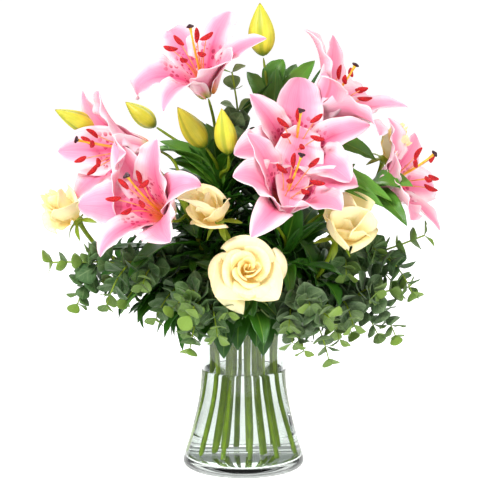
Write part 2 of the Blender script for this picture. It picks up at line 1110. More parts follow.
@dataclass(frozen=True)
class RoseFinish(Finish):
    """Rose petals, deeper at the heart.

    Args:
        pale: Colour of the outer petals.
        heart: Colour at the centre and the base.
        edge: Colour of the worn margin.
    """

    pale: Colour = linear(255, 244, 196)
    heart: Colour = linear(255, 214, 88)
    edge: Colour = linear(250, 214, 118)

    def paint(self, graph: Graph) -> tuple[Feed, Feed]:
        """Writes the shade from heart to rim, veins and margins.

        Args:
            graph: The material's graph.

        Returns:
            A colour and a height.
        """
        place, across, along = graph.place()
        offset = graph.group("Midline", Across=across).outputs["Offset"]
        veins = graph.group("Veins", Place=place, Count=34.0).outputs["Mask"]
        patches = graph.group("Mottle", Scale=50.0).outputs["Mask"]
        height = graph.times(along, 0.75)
        depth = graph.plus(height, graph.times(graph.tone(), 0.5))
        colour = graph.mix(graph.ramp(depth, 0.2, 1.0), self.heart, self.pale)
        colour = graph.mix(graph.times(veins, 0.1), colour, self.edge)
        colour = graph.mix(graph.times(patches, 0.1), colour, self.edge)
        rim = graph.math("MAXIMUM", graph.ramp(along, 0.965, 1.0), graph.ramp(offset, 0.95, 1.0))
        colour = graph.mix(graph.times(rim, 0.3), colour, self.edge)
        return colour, graph.times(veins, 0.35)


@dataclass(frozen=True)
class PowderFinish(Finish):
    """A plain grainy surface, such as pollen or a stigma.

    Args:
        dark: Colour of its hollows.
        light: Colour of its grains.
        grain: Grains to a metre, roughly.
    """

    dark: Colour = linear(130, 6, 14)
    light: Colour = linear(226, 20, 28)
    grain: float = 900.0

    def paint(self, graph: Graph) -> tuple[Feed, Feed]:
        """Writes the grains.

        Args:
            graph: The material's graph.

        Returns:
            A colour and a height.
        """
        grains = graph.group("Mottle", Scale=self.grain).outputs["Mask"]
        return graph.mix(grains, self.dark, self.light), grains


@dataclass(frozen=True)
class StemFinish(Finish):
    """A green stem, brighter under the water.

    Args:
        dry: Colour above the water.
        wet: Colour under it.
        stain: Colour of its patches.
        water_line: Height of the water.
    """

    dry: Colour = linear(146, 172, 30)
    wet: Colour = linear(118, 146, 10)
    stain: Colour = linear(48, 78, 14)
    water_line: float = 0.117

    def paint(self, graph: Graph) -> tuple[Feed, Feed]:
        """Writes long streaks, patches and the change at the water.

        Args:
            graph: The material's graph.

        Returns:
            A colour and a height.
        """
        where = graph.add("ShaderNodeTexCoord")
        stretch = graph.add("ShaderNodeVectorMath", operation="MULTIPLY")
        graph.feed(stretch.inputs[0], where.outputs["Object"])
        stretch.inputs[1].default_value = (900.0, 900.0, 26.0)
        streaks = graph.add("ShaderNodeTexNoise")
        graph.feed(streaks.inputs["Vector"], stretch.outputs[0])
        streaks.inputs["Scale"].default_value = 0.5
        split = graph.add("ShaderNodeSeparateXYZ")
        graph.feed(split.inputs[0], where.outputs["Object"])
        low, high = self.water_line - 2 * MM, self.water_line + 2 * MM
        colour = graph.mix(graph.ramp(split.outputs[2], low, high), self.wet, self.dry)
        patches = graph.group("Mottle", Scale=46.0).outputs["Mask"]
        lines = graph.ramp(streaks.outputs["Fac"], 0.35, 0.7)
        colour = graph.mix(graph.times(lines, 0.3), colour, self.stain)
        colour = graph.mix(graph.times(patches, 0.35), colour, self.stain)
        return colour, graph.plus(lines, graph.times(patches, 0.5))


@dataclass(frozen=True)
class ClearFinish:
    """Glass or water that lets light through to what is behind it.

    Args:
        name: The material's name.
        tint: Colour of the light that passes.
        bend: Index of refraction.
        shade: Share of the light that it lets into its shadow.
    """

    name: str
    tint: Colour
    bend: float
    shade: float = 0.93

    def build(self) -> bpy.types.Material:
        """Makes the material.

        Returns:
            The material.
        """
        material = bpy.data.materials.new(self.name)
        material.use_nodes = True
        graph = Graph(material.node_tree)
        shader = material.node_tree.nodes["Principled BSDF"]
        shader.inputs["Base Color"].default_value = self.tint
        shader.inputs["Roughness"].default_value = 0.0
        shader.inputs["IOR"].default_value = self.bend
        shader.inputs["Transmission Weight"].default_value = 1.0
        clear = graph.add("ShaderNodeBsdfTransparent")
        clear.inputs["Color"].default_value = (self.shade, self.shade, self.shade, 1.0)
        path = graph.add("ShaderNodeLightPath")
        blend = graph.add("ShaderNodeMixShader")
        graph.feed(blend.inputs[0], path.outputs["Is Shadow Ray"])
        graph.feed(blend.inputs[1], shader.outputs[0])
        graph.feed(blend.inputs[2], clear.outputs[0])
        output = material.node_tree.nodes["Material Output"]
        graph.feed(output.inputs["Surface"], blend.outputs[0])
        return material


class Palette:
    """Every finish of the bouquet, built once."""

    def __init__(self) -> None:
        """Builds the materials."""
        soft = {"roughness": 0.5, "sheen": 0.25, "soft": 0.12}
        inner = PetalFinish("petal", bump=0.45, **soft)
        self.petal = inner.build()
        self.petal_gold = replace(
            inner, name="petal_gold_throat", throat=linear(250, 140, 40), glow=0.34, freckles=0.3
        ).build()
        self.petal_back = PetalBackFinish("petal_back", bump=0.5, **soft).build()
        self.leaf = BladeFinish("lily_leaf", roughness=0.34, bump=0.5).build()
        self.leaf_bright = BladeFinish(
            "lily_leaf_bright", roughness=0.36, bump=0.5, dark=linear(40, 104, 26), light=linear(104, 160, 50)
        ).build()
        self.coin = CoinFinish("eucalyptus_leaf", roughness=0.62, sheen=0.15, bump=0.4).build()
        self.coin_grey = CoinFinish(
            "eucalyptus_leaf_grey", roughness=0.66, sheen=0.2, bump=0.4,
            green=linear(62, 94, 48), powder=linear(132, 154, 112),
        ).build()
        self.bud = BudFinish("lily_bud", roughness=0.42, soft=0.08, bump=0.5).build()
        self.rose = RoseFinish("rose_petal", roughness=0.58, sheen=0.2, soft=0.25, bump=0.3, lit=0.07).build()
        self.anther = PowderFinish("anther", roughness=0.8, bump=0.6).build()
        self.filament = PowderFinish(
            "filament", roughness=0.4, bump=0.1,
            dark=linear(240, 150, 90), light=linear(250, 190, 130), grain=200.0,
        ).build()
        self.style = PowderFinish(
            "style", roughness=0.35, bump=0.1,
            dark=linear(228, 160, 30), light=linear(246, 206, 60), grain=160.0,
        ).build()
        self.stigma = PowderFinish(
            "stigma", roughness=0.3, bump=0.5, dark=linear(26, 6, 12), light=linear(70, 16, 30), grain=500.0
        ).build()
        self.stem = StemFinish("stem", roughness=0.42, bump=0.4).build()
        self.glass = ClearFinish("glass", linear(240, 245, 242), 1.45).build()
        self.water = ClearFinish("water", linear(250, 251, 250), 1.24, 0.97).build()


# ---- blades: tepals and leaves
@dataclass(frozen=True)
class BladeShape:
    """How a petal or leaf bends.

    Args:
        length: From root to tip.
        width: At its widest.
        lean: Degrees from the axis at its root.
        flare: Degrees more, evenly to the tip.
        curl: Degrees more, mostly at the tip.
        cup: Hollow across it, as a share of its width.
        peak: Where along it the blade is widest.
        ruffle: Height of the waves along its margins.
        waves: Number of them.
        twist: Degrees that it turns about its own length.
        groove: Depth of the fold along its middle.
        point: How sharp the tip is, from 0 to 1.
        root: Width at the root, as a share.
        full: How round the outline is; lower is rounder.
    """

    length: float
    width: float
    lean: float = 18
    flare: float = 50
    curl: float = 0
    cup: float = 0.16
    peak: float = 0.55
    ruffle: float = 0.0
    waves: float = 4.0
    twist: float = 0.0
    groove: float = 0.0
    point: float = 0.7
    root: float = 0.1
    full: float = 0.85


class Blade:
    """A bent sheet rooted at a point."""

    STEPS = 48

    def __init__(self, root: Vector, out: Vector, axis: Vector, shape: BladeShape, seed: float = 0.0) -> None:
        """Bends the middle line.

        Args:
            root: Where it grows from.
            out: Direction away from the axis.
            axis: Direction of the axis.
            shape: Its form.
            seed: Varies its waves.
        """
        self.shape = shape
        self.seed = seed
        self.side = out.cross(axis).normalized()
        self.spine = [Vector(root)]
        self.normals = []
        for i in range(self.STEPS + 1):
            s = i / self.STEPS
            tilt = math.radians(shape.lean + shape.flare * s + shape.curl * s**4)
            self.normals.append(axis * math.sin(tilt) - out * math.cos(tilt))
            step = (out * math.sin(tilt) + axis * math.cos(tilt)) * shape.length / self.STEPS
            self.spine.append(self.spine[-1] + step)

    def breadth(self, along: float) -> float:
        """Gives the width at a share of the length.

        Args:
            along: From 0 to 1.

        Returns:
            The width there.
        """
        shape = self.shape
        bend = math.log(0.5) / math.log(shape.peak)
        swell = max(0.0, math.sin(math.pi * along**bend)) ** shape.full
        stub = (0.1 + (shape.root - 0.1) * (1 - along) ** 3) * (1 - shape.point * smooth(0.8, 1.0, along))
        return shape.width * (stub + 0.9 * swell)

    def point(self, along: float, across: float) -> Vector:
        """Gives a point of the sheet.

        Args:
            along: From root 0 to tip 1.
            across: From one margin 0 to the other 1.

        Returns:
            The point.
        """
        shape = self.shape
        spot = along * self.STEPS
        low = min(int(spot), self.STEPS - 1)
        centre = self.spine[low].lerp(self.spine[low + 1], spot - low)
        normal = self.normals[low].lerp(self.normals[low + 1], spot - low).normalized()
        turn = math.radians(shape.twist) * along * along
        side = self.side * math.cos(turn) + normal * math.sin(turn)
        normal = normal * math.cos(turn) - self.side * math.sin(turn)
        x = across - 0.5
        breadth = self.breadth(along)
        hollow = shape.cup * breadth * min(1, 2 * along) * 4 * x * x
        edge = (2 * abs(x)) ** 2.4 * smooth(0.12, 0.4, along) * smooth(1.0, 0.82, along)
        phase = self.seed * 2.1 + (1.9 if x > 0 else 0.0)
        wobble = math.sin(math.tau * shape.waves * along + phase) + 0.6 * math.sin(
            math.tau * shape.waves * 1.73 * along + phase * 2.3
        )
        lift = hollow + shape.ruffle * edge * wobble
        lift -= shape.groove * math.exp(-((x / 0.05) ** 2)) * smooth(1.0, 0.7, along)
        drift = shape.ruffle * 0.5 * noise.noise(Vector((along * 3, self.seed, 0)))
        return centre + side * (x * breadth) + normal * (lift + drift)


# ---- open lilies
@dataclass(frozen=True)
class Tepal:
    """One of a lily's six tepals.

    Args:
        turn: Degrees round the flower.
        flare: How far it opens.
        curl: How far its tip bends back.
        ruffle: Height of its waves in millimetres.
        twist: Degrees that its tip turns.
    """

    turn: float
    flare: float
    curl: float = 0
    ruffle: float = 1.8
    twist: float = 0


@dataclass(frozen=True)
class LilyShape:
    """The form of one open lily.

    Args:
        name: Its CAD node.
        length: Reach of its tepals, in millimetres.
        tepals: The six, outer ones first and then by turns.
        gold: Whether its throat is a broad golden orange.
    """

    name: str
    length: float
    tepals: tuple[Tepal, ...]
    gold: bool = False


class Lily:
    """An open lily: six tepals, six stamens and a pistil."""

    BROAD, NARROW, USUAL = 56 * MM, 40 * MM, 106 * MM
    ROOT, LAYER, SINK = 2.6 * MM, 1.6 * MM, 4 * MM
    SHEET = 0.7 * MM
    # How the stamens' node is read: reach of its hub, of the stigma round its tip, and to the nearest anther.
    HUB, STIGMA, FAR = 7.2 * MM, 9 * MM, 55 * MM
    # Lengths given in millimetres: the throat behind the hub, and a filament with how much it varies.
    BEHIND, FILAMENT, UNEVEN = 2.3, 70, 5
    SPREAD = 22 * MM
    ANTHER_HALF, ANTHER_THICK = 9.2 * MM, 3.1 * MM
    STYLE, STYLE_LEAN = 86 * MM, 14 * MM

    def __init__(self, cad: CadReader, shape: LilyShape, palette: Palette, seed: float) -> None:
        """Finds its place.

        Args:
            cad: The reader.
            shape: Its form.
            palette: The finishes.
            seed: Varies its waves.
        """
        self.shape = shape
        self.palette = palette
        self.seed = seed
        self.axes = self.find(cad)

    def find(self, cad: CadReader) -> Axes:
        """Finds throat and facing from the stamens.

        Args:
            cad: The reader.

        Returns:
            Its axes.
        """
        name = f"{self.shape.name}_stamens"
        stems = cad.names("lily_stem_")
        foot, stigma = cad.rooted_pair(name, stems)
        points = cad.points(name)
        reach = np.linalg.norm(points - np.array(foot), axis=1)
        hub = Vector(points[reach < self.HUB].mean(axis=0))
        near_stigma = np.linalg.norm(points - np.array(stigma), axis=1) < self.STIGMA
        anthers = Vector(points[(reach > self.FAR) & ~near_stigma].mean(axis=0))
        forward = (anthers - hub).normalized()
        return Axes(hub - forward * self.BEHIND * MM, forward)

    def build(self) -> list[bpy.types.Object]:
        """Builds every piece.

        Returns:
            The objects.
        """
        return [*self.tepals(), self.stamens(), self.pistil()]

    def tepals(self) -> list[bpy.types.Object]:
        """Builds the six tepals.

        Returns:
            Six objects.
        """
        made = []
        inner_face = self.palette.petal_gold if self.shape.gold else self.palette.petal
        for i, tepal in enumerate(self.shape.tepals):
            inner = i % 2 == 1
            scale = self.shape.length * MM / self.USUAL
            out = self.axes.out(tepal.turn)
            root = self.axes.origin - self.axes.forward * self.SINK
            root += out * (self.ROOT + (0 if inner else self.LAYER))
            form = BladeShape(
                length=self.shape.length * MM + self.SINK,
                width=(self.BROAD if inner else self.NARROW) * scale,
                flare=tepal.flare, curl=tepal.curl, twist=tepal.twist,
                ruffle=tepal.ruffle * MM * (1.0 if inner else 0.6),
                waves=3.4 + 0.5 * math.sin(self.seed + i),
                groove=0.9 * MM, root=0.3, full=0.66 if inner else 0.76,
            )
            blade = Blade(root, out, self.axes.forward, form, self.seed + i)
            kit = MeshKit()
            kit.grid(44, 18, blade.point, tone=0.5 + 0.5 * math.sin(self.seed * 3 + i * 2))
            name = f"{self.shape.name}_tepal_{i + 1}"
            petal = kit.build(name, [inner_face, self.palette.petal_back], self.SHEET)
            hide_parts(self.shape.name)
            made.append(petal)
        return made

    def stamens(self) -> bpy.types.Object:
        """Builds six filaments with their anthers.

        Returns:
            One object.
        """
        kit = MeshKit()
        axes = self.axes
        for i in range(6):
            turn = 60 * i + 30
            ahead = (self.FILAMENT + self.UNEVEN * math.cos(2.1 * i)) * MM
            tip = axes.at(self.SPREAD, turn, ahead)
            start = axes.at(2.2 * MM, turn, 1 * MM)
            path = bezier(start, axes.at(4 * MM, turn, ahead * 0.6), tip, 18)
            kit.tube(path, lambda t: (1.05 - 0.5 * t) * MM, 8, slot=0)
            swing = math.radians(55 + 20 * math.cos(2.6 * i))
            out = axes.out(turn)
            lengthways = axes.forward * math.cos(swing) + out * math.sin(swing)
            self.anther(kit, tip, lengthways, out)
        thing = kit.build(f"{self.shape.name}_anthers", [self.palette.filament, self.palette.anther])
        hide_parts(f"{self.shape.name}_stamens")
        return thing

    def anther(self, kit: MeshKit, centre: Vector, lengthways: Vector, out: Vector) -> None:
        """Adds one anther, bent like a bean with a groove.

        Args:
            kit: The mesh to add to.
            centre: Its middle.
            lengthways: Its direction.
            out: Direction away from the flower's axis.
        """
        half = self.ANTHER_HALF
        axes = Axes(centre - lengthways * half, lengthways, out)

        def point(along: float, around: float) -> Vector:
            """Gives a point of the anther's skin.

            Args:
                along: From one end 0 to the other 1.
                around: Share of a turn round it.

            Returns:
                The point.
            """
            turn = 360 * around
            swell = math.sin(math.pi * min(1.0, max(0.0, along))) ** 0.55
            groove = 1 - 0.32 * math.exp(-(((turn - 90) / 24) ** 2))
            radius = self.ANTHER_THICK * swell * groove
            bow = axes.up * (-1.8 * MM * (2 * along - 1) ** 2)
            return axes.at(radius, turn, 2 * half * along) + bow

        kit.grid(16, 14, point, slot=1, ring=True)

    def pistil(self) -> bpy.types.Object:
        """Builds the style and its three-lobed stigma.

        Returns:
            One object.
        """
        kit = MeshKit()
        axes = self.axes
        seat = Axes(axes.origin - axes.forward * 7.6 * MM, axes.forward)
        kit.blob(seat, lambda t, _: (6.0 * MM * math.sin(math.pi * t) ** 0.6, 9 * MM * t), 10, 20, slot=2)
        tip = axes.at(self.STYLE_LEAN, 90, self.STYLE)
        start = axes.at(0, 0, 1.2 * MM)
        path = bezier(start, axes.at(3 * MM, 90, 50 * MM), tip, 20)
        kit.tube(path, lambda t: (1.7 - 0.6 * t + 0.9 * smooth(0.9, 1, t)) * MM, 10, slot=0)
        head = Axes(path[-1] - (path[-1] - path[-2]).normalized() * 0.6 * MM, path[-1] - path[-2])

        def lobes(along: float, turn: float) -> tuple[float, float]:
            """Gives the radius and height of the stigma's skin."""
            lobe = 1 + 0.26 * math.cos(math.radians(3 * turn))
            return 4.0 * MM * lobe * math.sin(math.pi * along) ** 0.6, 4.4 * MM * along

        kit.blob(head, lobes, 12, 24, slot=1)
        finishes = [self.palette.style, self.palette.stigma, self.palette.stem]
        thing = kit.build(f"{self.shape.name}_pistil", finishes)
        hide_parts(f"{self.shape.name}_stamens")
        return thing


# ---- closed buds
class Bud:
    """A closed lily bud with three seams."""

    def __init__(self, cad: CadReader, name: str, palette: Palette) -> None:
        """Finds its place.

        Args:
            cad: The reader.
            name: Its CAD node.
            palette: The finishes.
        """
        self.name = name
        self.palette = palette
        base, tip = cad.rooted_pair(name, cad.names("lily_stem_"))
        self.axes = Axes(base, tip - base)
        self.length = (tip - base).length
        middle = (base + tip) / 2
        ring = cad.section(name, np.array(middle), np.array(self.axes.forward))
        self.radius = float(np.linalg.norm(ring - ring.mean(axis=0), axis=1).max())

    def shape(self, along: float, turn: float) -> tuple[float, float]:
        """Gives the radius and height of its skin.

        Args:
            along: From 0 to 1.
            turn: Degrees round it.

        Returns:
            The radius and the height.
        """
        swell = math.sin(math.pi * along**0.85) ** 0.8 * (1 - 0.35 * along)
        seams = 1 + 0.06 * math.cos(math.radians(3 * turn))
        crease = 1 - 0.05 * math.exp(-(((turn % 120 - 60) / 7) ** 2))
        ribs = 1 + 0.012 * math.cos(math.radians(18 * turn))
        stub = 0.7 * MM * (1 - along)
        return self.radius * 1.28 * swell * seams * crease * ribs + stub, self.length * along

    def build(self) -> list[bpy.types.Object]:
        """Builds the bud.

        Returns:
            One object in a list.
        """
        kit = MeshKit()
        kit.blob(self.axes, self.shape, 40, 60)
        thing = kit.build(f"{self.name}_skin", [self.palette.bud])
        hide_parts(self.name)
        return [thing]


# ---- roses
@dataclass(frozen=True)
class RoseShape:
    """The form of one rose.

    Args:
        name: Its CAD node.
        petals: Number of petals.
        opened: How far the outer petals roll out, from 0 to 1.
        guards: Degrees round it of the broad outermost petals.
        away: How far those lean out, in degrees.
    """

    name: str
    petals: int
    opened: float
    guards: tuple[float, ...] = ()
    away: float = 58


class Rose:
    """A rose of overlapping rolled petals round a tight heart."""

    # How near the heart the stem's points are that give the facing, and the thickness of a petal.
    NEAR, SHEET = 40 * MM, 0.45 * MM

    def __init__(self, cad: CadReader, shape: RoseShape, palette: Palette, seed: float) -> None:
        """Finds its place and size.

        Args:
            cad: The reader.
            shape: Its form.
            palette: The finishes.
            seed: Varies its petals.
        """
        self.shape = shape
        self.palette = palette
        self.seed = seed
        self.random = random.Random(f"{SEED}{shape.name}")
        points = cad.points(shape.name)
        heart = points.mean(axis=0)
        stem = cad.points(f"{shape.name}_stem")
        near = stem[np.linalg.norm(stem - heart, axis=1) < self.NEAR]
        facing = Vector(heart - near.mean(axis=0)).normalized()
        heights = (points - heart) @ np.array(facing)
        base = Vector(heart) + facing * float(heights.min())
        self.depth = float(np.ptp(heights))
        off = points - heart - np.outer(heights, np.array(facing))
        self.girth = float(np.quantile(np.linalg.norm(off, axis=1), 0.9))
        self.axes = Axes(base, facing)

    def petal(self, kit: MeshKit, index: int) -> None:
        """Adds one petal.

        Args:
            kit: The mesh to add to.
            index: Its number, from the heart outward.
        """
        share = (index + 1) / self.shape.petals
        vary = self.random.uniform
        girth = self.girth
        layer = girth * (0.05 + 0.67 * share**1.3) * vary(0.9, 1.06)
        half = math.radians(92 - 28 * share)
        top = self.depth * (1.0 - 0.4 * share**2) * vary(0.9, 1.05)
        lean = girth * (0.3 * self.shape.opened * share**2 - 0.1 * (1 - share)) * vary(0.6, 1.4)
        lip = self.shape.opened * girth * (0.04 + 0.3 * share) * vary(0.7, 1.3)
        turn = GOLDEN * index + 60 * self.seed + vary(-12, 12)
        tip = vary(0.06, 0.16) * share
        tuck = girth * vary(0.1, 0.24) * share**0.7
        phase = vary(0, 6)

        def point(along: float, across: float) -> Vector:
            """Gives a point of the petal.

            Args:
                along: From its root 0 to its lip 1.
                across: From one margin 0 to the other 1.

            Returns:
                The point.
            """
            x = 2 * across - 1
            crown = 1 - 0.36 * abs(x) ** 2.6 + tip * math.exp(-((x / 0.22) ** 2))
            belly = layer * (0.28 + 0.72 * smooth(0, 0.45, along))
            spread = lean * along * along
            roll = lip * smooth(0.66, 1.0, along) * (0.75 + 0.7 * abs(x) - 0.85 * x * x)
            drop = lip * smooth(0.82, 1.0, along) * (0.25 + 1.1 * abs(x))
            overlap = tuck * x
            wave = 1.1 * MM * share * math.sin(3.4 * x + phase) * along
            height = top * along * crown - drop + wave
            angle = turn + math.degrees(half) * x
            return self.axes.at(belly + spread + roll + overlap - wave, angle, height)

        kit.grid(22, 20, point, tone=share)

    def guard(self, kit: MeshKit, turn: float) -> None:
        """Adds the broad outer petal that stands away from the rest.

        Args:
            kit: The mesh to add to.
            turn: Where it is, in degrees round the rose.
        """
        out = self.axes.out(turn)
        form = BladeShape(
            length=1.3 * self.depth, width=1.6 * self.girth, lean=self.shape.away, flare=-16,
            curl=44, cup=0.3, peak=0.56, ruffle=0.6 * MM, groove=-0.5 * MM, point=0.8,
        )
        blade = Blade(self.axes.origin + out * 2 * MM, out, self.axes.forward, form, self.seed)
        kit.grid(30, 20, blade.point, tone=1.0)

    def build(self) -> list[bpy.types.Object]:
        """Builds the rose.

        Returns:
            One object in a list.
        """
        kit = MeshKit()
        for index in range(self.shape.petals):
            self.petal(kit, index)
        for turn in self.shape.guards:
            self.guard(kit, turn)
        thing = kit.build(f"{self.shape.name}_petals", [self.palette.rose], self.SHEET)
        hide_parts(self.shape.name)
        return [thing]


# ---- foliage
class Foliage:
    """The lily leaves, measured from the CAD ones, and the leaves that fill the bouquet."""

    # For each lily stem: the end of its name, the height of its topmost small leaf, its broad leaves.
    TOPS = (("left", 300 * MM, 0), ("middle", 338 * MM, 24), ("back", 333 * MM, 22), ("right", 265 * MM, 6))
    HANGING = 3
    SKIRT = 30
    SHEET = 0.45 * MM
    # Heights where the small leaves start, where the rim is cleared, and where a rose stem's leaves end.
    LOWEST, CLEAR, ROSE_TOP = 204 * MM, 206 * MM, 246 * MM
    # Root of the skirt, in millimetres: distance from the axis, and height of its lowest row.
    SKIRT_OUT, SKIRT_HIGH = 20, 211
    # Leaves on the stalks, in millimetres: near which place each grows, and where its tip is.
    STALK_LEAVES = (
        ((0, 20, 412), (38, 0, 474)), ((64, 30, 452), (46, 10, 484)),
        ((64, 30, 430), (84, 20, 482)), ((18, 30, 412), (44, 40, 468)),
        ((46, 40, 408), (62, 50, 474)), ((10, 30, 420), (4, 30, 468)),
        ((96, -36, 342), (128, -60, 368)), ((92, -46, 354), (166, -80, 330)),
        ((118, -40, 374), (180, -80, 344)), ((92, -56, 346), (154, -90, 326)),
        ((134, -66, 330), (192, -80, 346)), ((148, -66, 338), (186, -90, 302)),
        ((110, -20, 374), (150, -30, 372)), ((88, -46, 332), (122, -50, 358)),
        ((-26, -10, 322), (-98, -10, 390)), ((-26, 0, 328), (-58, 0, 402)),
        ((-28, 0, 316), (-112, 0, 342)), ((-24, 10, 330), (-8, -20, 380)),
        ((-4, 0, 328), (-26, 10, 388)), ((-20, 10, 330), (-84, 0, 366)),
        ((-10, 20, 332), (-44, 20, 408)), ((-30, 10, 310), (-78, 10, 330)),
        ((60, 0, 322), (112, -30, 360)),
    )

    def __init__(self, cad: CadReader, palette: Palette) -> None:
        """Keeps the reader and the finishes.

        Args:
            cad: The reader.
            palette: The finishes.
        """
        self.cad = cad
        self.palette = palette
        self.random = random.Random(SEED)

    def leaf(self, name: str) -> bpy.types.Object:
        """Builds a fine leaf where a CAD one is.

        Args:
            name: The CAD node.

        Returns:
            The leaf.
        """
        spine = measure_blade(self.cad, name, self.cad.names("lily_stem_"))
        centres = smooth_path(spine.centres, 40)
        sides = spine.sides
        seed = self.random.random() * 20
        bend = math.log(0.5) / math.log(0.4)

        def point(along: float, across: float) -> Vector:
            """Gives a point of the leaf.

            Args:
                along: From its root 0 to its tip 1.
                across: From one margin 0 to the other 1.

            Returns:
                The point.
            """
            spot = round(along * 40)
            ahead = (centres[min(40, spot + 1)] - centres[max(0, spot - 1)]).normalized()
            share = along * (len(sides) - 1)
            low = min(int(share), len(sides) - 2)
            side = sides[low].lerp(sides[low + 1], share - low)
            side = (side - ahead * side.dot(ahead)).normalized()
            normal = side.cross(ahead)
            if normal.z < 0:
                normal = -normal
            x = across - 0.5
            swell = max(0.0, math.sin(math.pi * along**bend)) ** 0.8
            breadth = spine.width * (0.16 * (1 - along) + 1.15 * swell)
            wave = 1.4 * MM * (2 * abs(x)) ** 2 * math.sin(13 * along + seed + (2 if x > 0 else 0))
            lift = 0.16 * breadth * 4 * x * x - 0.6 * MM * math.exp(-((x / 0.06) ** 2)) + wave
            return centres[spot] + side * (x * breadth) + normal * lift

        kit = MeshKit()
        kit.grid(40, 12, point, tone=self.random.random())
        face = self.palette.leaf_bright if self.random.random() > 0.6 else self.palette.leaf
        thing = kit.build(f"{name}_blade", [face], 0.5 * MM)
        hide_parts(name)
        return thing

    def crown(self, kit: MeshKit, path: list[Vector], count: int) -> None:
        """Adds the broad leaves where a stem branches into its stalks.

        Args:
            kit: The mesh to add to.
            path: The stem's points.
            count: Number of leaves.
        """
        ahead = (path[-1] - path[-4]).normalized()
        stem = Axes(path[-1], ahead)
        vary = self.random.uniform
        for number in range(count):
            out = stem.out(GOLDEN * number + vary(-20, 20))
            form = BladeShape(
                length=vary(62, 98) * MM, width=vary(22, 30) * MM, lean=vary(6, 64), flare=vary(10, 70),
                peak=0.42, ruffle=1.0 * MM, groove=0.5 * MM, point=0.9,
            )
            root = path[-1] - ahead * number * 1.4 * MM + out * 3 * MM
            kit.grid(18, 6, Blade(root, out, ahead, form, number).point, tone=self.random.random() * 0.6)

    def collar(self, kit: MeshKit, path: list[Vector]) -> None:
        """Adds the leaves that hang out over the rim of the vase.

        Args:
            kit: The mesh to add to.
            path: The stem's points.
        """
        start = next(p for p in path if p.z > self.CLEAR)
        away = math.degrees(math.atan2(start.y, start.x))
        vary = self.random.uniform
        for number in range(self.HANGING):
            angle = math.radians(away + 46 * (number - 1) + vary(-14, 14))
            out = Vector((math.cos(angle), math.sin(angle), 0))
            form = BladeShape(
                length=vary(74, 94) * MM, width=vary(26, 34) * MM, lean=vary(74, 90), flare=vary(56, 92),
                peak=0.5, ruffle=1.0 * MM, groove=0.5 * MM, point=0.9,
            )
            root = start + UP * number * 3 * MM + out * 3 * MM
            kit.grid(20, 8, Blade(root, out, UP, form, number).point, tone=self.random.random() * 0.8)

    def stalk_leaves(self) -> bpy.types.Object:
        """Builds the leaves that stand between the blooms.

        Returns:
            One object.
        """
        kit = MeshKit()
        axis = Vector((0, -1.0, 1.0)).normalized()
        stems = np.vstack([self.cad.points(name) for name in self.cad.names("lily_stem_")])
        for number, (root, tip) in enumerate(self.STALK_LEAVES):
            start = Vector(stems[np.linalg.norm(stems - np.array(root) * MM, axis=1).argmin()])
            reach = Vector(tip) * MM - start
            out = (reach - axis * reach.dot(axis)).normalized()
            droop = 44 + 14 * (number % 3)
            form = BladeShape(
                length=1.08 * reach.length, width=self.random.uniform(22, 30) * MM,
                lean=math.degrees(axis.angle(reach)) - 0.5 * droop, flare=droop,
                cup=0.22, peak=0.45, ruffle=0.7 * MM, groove=0.5 * MM, point=0.9,
            )
            kit.grid(26, 8, Blade(start, out, axis, form, number).point, tone=self.random.random())
        thing = kit.build("stalk_leaves", [self.palette.leaf_bright], self.SHEET)
        return thing

    def skirt(self) -> bpy.types.Object:
        """Builds the ring of leaves that droops over the rim.

        Returns:
            One object.
        """
        kit = MeshKit()
        vary = self.random.uniform
        for number in range(self.SKIRT):
            angle = math.tau * (number + vary(-0.3, 0.3)) / self.SKIRT
            out = Vector((math.cos(angle), math.sin(angle), 0))
            form = BladeShape(
                length=vary(80, 106) * MM, width=vary(28, 36) * MM, lean=84, flare=vary(92, 112),
                peak=0.5, ruffle=1.0 * MM, groove=0.5 * MM, point=0.9,
            )
            root = out * self.SKIRT_OUT * MM + UP * (self.SKIRT_HIGH + 5 * (number % 3)) * MM
            kit.grid(20, 8, Blade(root, out, UP, form, number).point, tone=self.random.random() * 0.5)
        thing = kit.build("rim_leaves", [self.palette.leaf], self.SHEET)
        return thing

    def whorls(self, name: str, high: float, crown: int = 0) -> bpy.types.Object:
        """Builds the small leaves up one stem.

        Args:
            name: The stem's CAD node.
            high: Height of the topmost leaf.
            crown: Number of broad leaves at its top.

        Returns:
            One object.
        """
        path = [p for p in self.cad.trace(name) if p.z < high + 1 * MM]
        kit = MeshKit()
        low = self.LOWEST
        vary = self.random.uniform
        usable = [i for i, p in enumerate(path[:-1]) if low < p.z < high]
        for count, spot in enumerate(spot for spot in usable for _ in range(2)):
            ahead = (path[spot + 1] - path[spot - 1]).normalized()
            stem = Axes(path[spot], ahead)
            age = 1 - (path[spot].z - low) / (high - low)
            out = stem.out(vary(0, 40) + GOLDEN * count)
            form = BladeShape(
                length=vary(48, 64) * MM * (0.8 + 0.5 * age), width=vary(20, 29) * MM * (0.75 + 0.4 * age),
                lean=vary(30, 64), flare=vary(20, 80),
                cup=0.18, peak=0.42, ruffle=0.9 * MM, groove=0.5 * MM, point=0.9,
            )
            blade = Blade(path[spot] + out * 3 * MM, out, ahead, form, count)
            kit.grid(16, 6, blade.point, tone=self.random.random() * 0.6)
        self.crown(kit, path, crown)
        self.collar(kit, path)
        thing = kit.build(f"{name}_leaves", [self.palette.leaf], self.SHEET)
        return thing

    def build(self) -> list[bpy.types.Object]:
        """Builds all of it.

        Returns:
            The objects.
        """
        leaves = [self.leaf(name) for name in self.cad.names("lily_leaf_")]
        leaves += [self.whorls(f"lily_stem_{end}", top, crown) for end, top, crown in self.TOPS]
        leaves += [self.whorls(name, self.ROSE_TOP) for name in self.cad.names("rose_", "_stem")]
        return leaves + [self.skirt(), self.stalk_leaves()]


